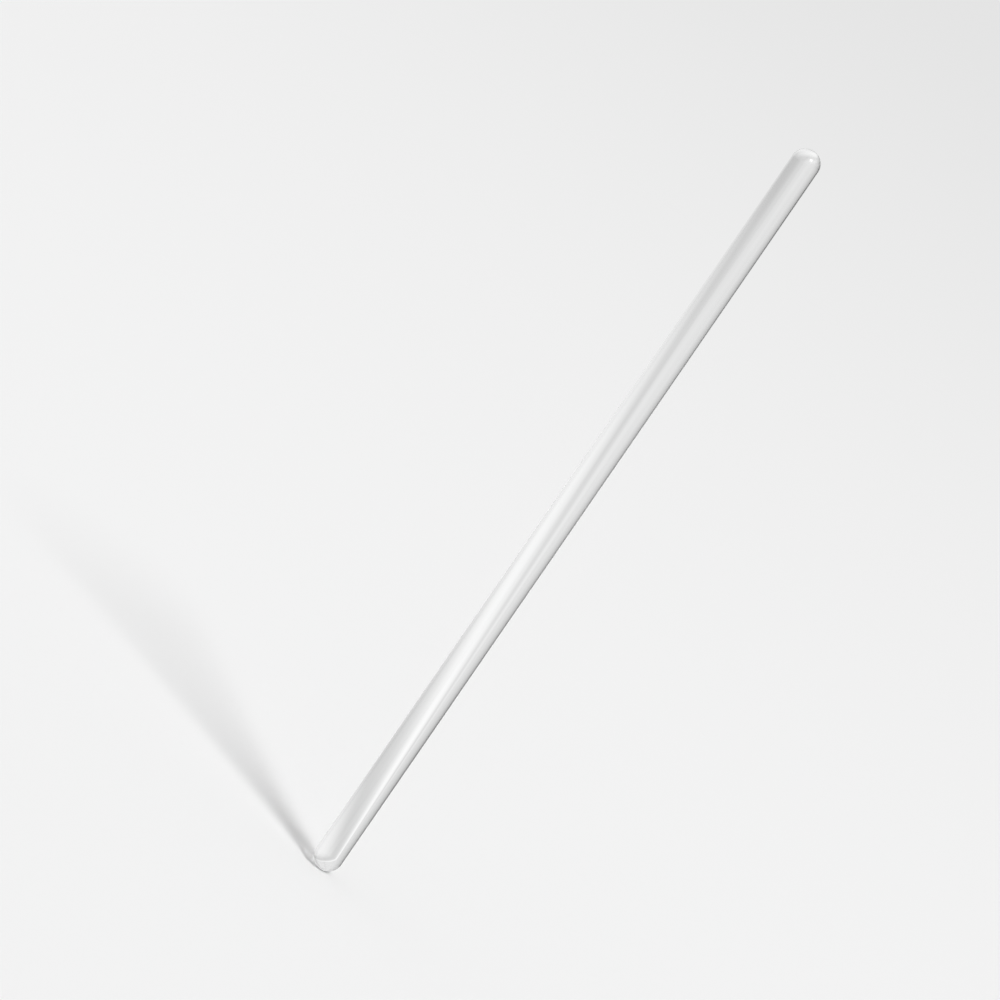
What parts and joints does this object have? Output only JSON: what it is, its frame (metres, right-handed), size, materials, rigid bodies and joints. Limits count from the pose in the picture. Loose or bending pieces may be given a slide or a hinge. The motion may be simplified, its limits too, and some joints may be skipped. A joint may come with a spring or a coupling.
{
  "type": "glass stirring rod",
  "caption": "Straight solid rod of clear glass with fire-polished, dome-shaped ends, for stirring and guiding liquids in laboratory glassware.",
  "frame": {"origin": "tip of the stirring end, on the axis of the rod", "axes": "+Z along the rod, from the stirring end to the upper end; the rod is round, so +X and +Y are equal"},
  "size_m": [0.007, 0.007, 0.2],
  "materials": {
    "clear_glass": "fire-polished, smooth and clear"
  },
  "bodies": {
    "root": {"stirring_rod": "clear_glass"}
  },
  "joints": []
}
